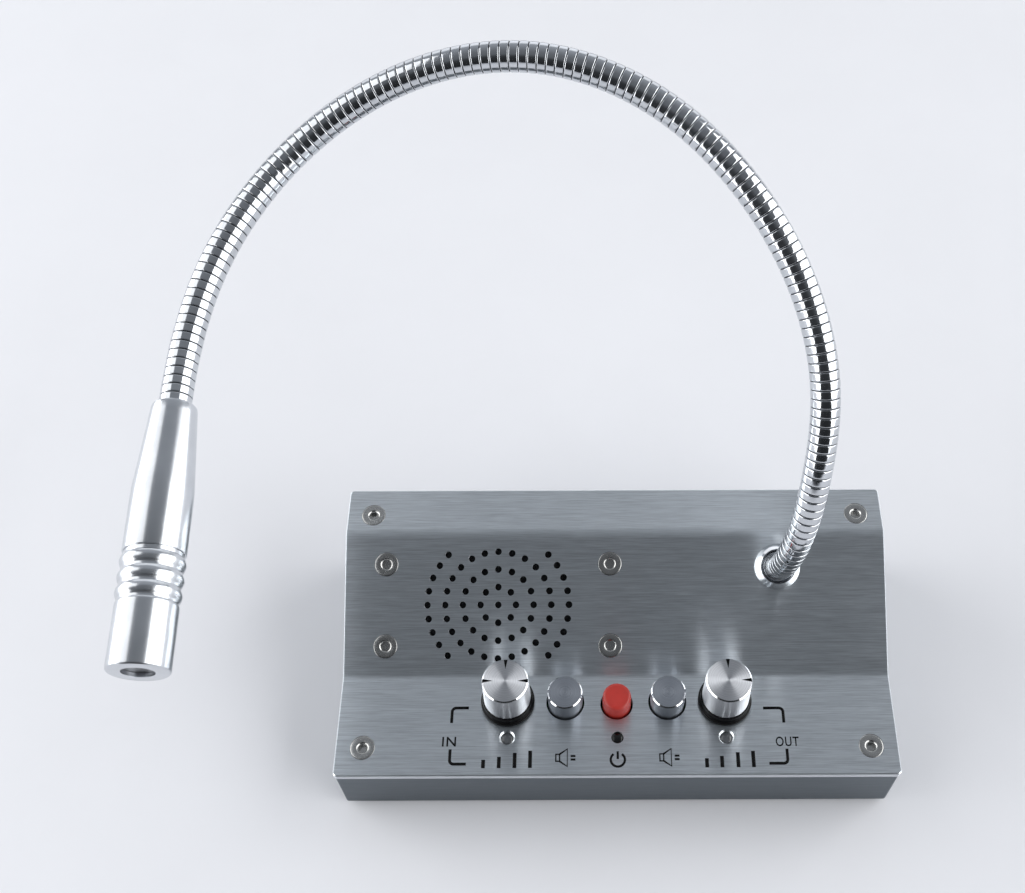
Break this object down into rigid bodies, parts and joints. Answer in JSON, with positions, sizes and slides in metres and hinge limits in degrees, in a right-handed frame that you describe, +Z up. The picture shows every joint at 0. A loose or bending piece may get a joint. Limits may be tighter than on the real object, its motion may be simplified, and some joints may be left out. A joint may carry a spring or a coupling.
{
  "type": "counter microphone",
  "caption": "Wedge-shaped metal counter console with a drilled loudspeaker grille, two volume knobs, push buttons, lamps and a microphone on a long flexible ringed metal neck.",
  "frame": {"origin": "middle of the console's footprint, on the counter", "axes": "+Z up; -Y towards the user at the control strip; +X to the user's right, where the neck leaves the panel"},
  "size_m": [0.2193, 0.1683, 0.1846],
  "materials": {
    "brushed_plate": "satin",
    "brushed_tray": "satin",
    "polished_metal": "polished",
    "turned_metal": "satin",
    "screw_steel": "satin",
    "black_plastic": "matte",
    "red_plastic": "satin",
    "clear_lens": "gloss",
    "dark_lens": "gloss",
    "black_rubber": "matte",
    "black_cloth": "matte",
    "foam": "matte",
    "cone_paper": "matte",
    "plated_steel": "satin",
    "ferrite": "matte",
    "brass": "satin",
    "board": "satin",
    "lead_sheath": "matte",
    "woven_mesh": "matte"
  },
  "bodies": {
    "console": {"top_plate": "brushed_plate", "housing_tray": "brushed_tray", "corner_posts": "plated_steel", "plate_screws": "screw_steel", "base_pad": "black_rubber", "grille_cloth": "black_cloth", "speaker_gasket": "foam", "speaker_basket": "plated_steel", "speaker_surround": "black_rubber", "speaker_cone": "cone_paper", "speaker_dust_cap": "cone_paper", "speaker_magnet": "ferrite", "speaker_yoke": "plated_steel", "speaker_screws": "screw_steel", "speaker_nuts": "plated_steel", "control_board": "board", "main_board": "board", "board_pillars": "plated_steel", "board_parts": "black_plastic", "pot_bodies": "black_plastic", "pot_washers": "plated_steel", "pot_nuts": "plated_steel", "switch_housings": "black_plastic", "left_spring": "plated_steel", "right_spring": "plated_steel", "power_spring": "plated_steel", "level_lamps": "clear_lens", "power_lamp": "dark_lens", "neck_gland": "polished_metal", "gland_nut": "brass", "neck_span_0": "polished_metal", "neck_lead_0": "lead_sheath", "line_socket": "black_plastic", "socket_nut": "plated_steel", "cable_grommet": "black_rubber"},
    "in_knob": {"in_knob_shaft": "turned_metal", "in_knob_skirt": "black_plastic", "in_knob_cap": "turned_metal"},
    "out_knob": {"out_knob_shaft": "turned_metal", "out_knob_skirt": "black_plastic", "out_knob_cap": "turned_metal"},
    "left_push": {"left_button": "turned_metal"},
    "right_push": {"right_button": "turned_metal"},
    "power_push": {"power_button": "red_plastic"},
    "neck_low": {"neck_span_1": "polished_metal", "neck_lead_1": "lead_sheath"},
    "neck_mid": {"neck_span_2": "polished_metal", "neck_lead_2": "lead_sheath"},
    "neck_high": {"neck_span_3": "polished_metal", "neck_lead_3": "lead_sheath"},
    "mic_head": {"neck_span_4": "polished_metal", "neck_lead_4": "lead_sheath", "mic_body": "polished_metal", "mic_cap": "polished_metal", "mic_mesh": "woven_mesh", "mic_capsule": "turned_metal", "capsule_holder": "black_rubber", "neck_ferrule": "brass"}
  },
  "joints": [
    {"name": "in_volume", "type": "hinge", "parent": "console", "child": "in_knob", "pos_m": [-0.0353, -0.02165, 0.035], "axis": [0, 0, 1], "range_deg": [-150, 150]},
    {"name": "out_volume", "type": "hinge", "parent": "console", "child": "out_knob", "pos_m": [0.0353, -0.02165, 0.035], "axis": [0, 0, 1], "range_deg": [-150, 150]},
    {"name": "left_press", "type": "slide", "parent": "console", "child": "left_push", "axis": [0, 0, -1], "range_m": [0, 0.0015], "stiffness_N_per_m": 600, "springref_m": -0.001, "deforming": ["left_spring"]},
    {"name": "right_press", "type": "slide", "parent": "console", "child": "right_push", "axis": [0, 0, -1], "range_m": [0, 0.0015], "stiffness_N_per_m": 600, "springref_m": -0.001, "deforming": ["right_spring"]},
    {"name": "power_press", "type": "slide", "parent": "console", "child": "power_push", "axis": [0, 0, -1], "range_m": [0, 0.0015], "stiffness_N_per_m": 600, "springref_m": -0.001, "deforming": ["power_spring"]},
    {"name": "neck_base_bend", "type": "hinge", "parent": "console", "child": "neck_low", "pos_m": [0.05786, 0.0149, 0.08687], "axis": [0.9929, -0.0413, -0.1116], "range_deg": [-20, 20]},
    {"name": "neck_side_bend", "type": "hinge", "parent": "neck_low", "child": "neck_mid", "pos_m": [0.04711, 0.06606, 0.14922], "axis": [0.4168, 0.7572, -0.5029], "range_deg": [-20, 20]},
    {"name": "neck_top_swing", "type": "hinge", "parent": "neck_mid", "child": "neck_high", "pos_m": [-0.01609, 0.10732, 0.17976], "axis": [0.097, -0.0189, 0.9951], "range_deg": [-20, 20]},
    {"name": "neck_head_tilt", "type": "hinge", "parent": "neck_high", "child": "mic_head", "pos_m": [-0.09298, 0.09438, 0.15863], "axis": [0.6877, -0.5923, -0.4198], "range_deg": [-20, 20]}
  ]
}
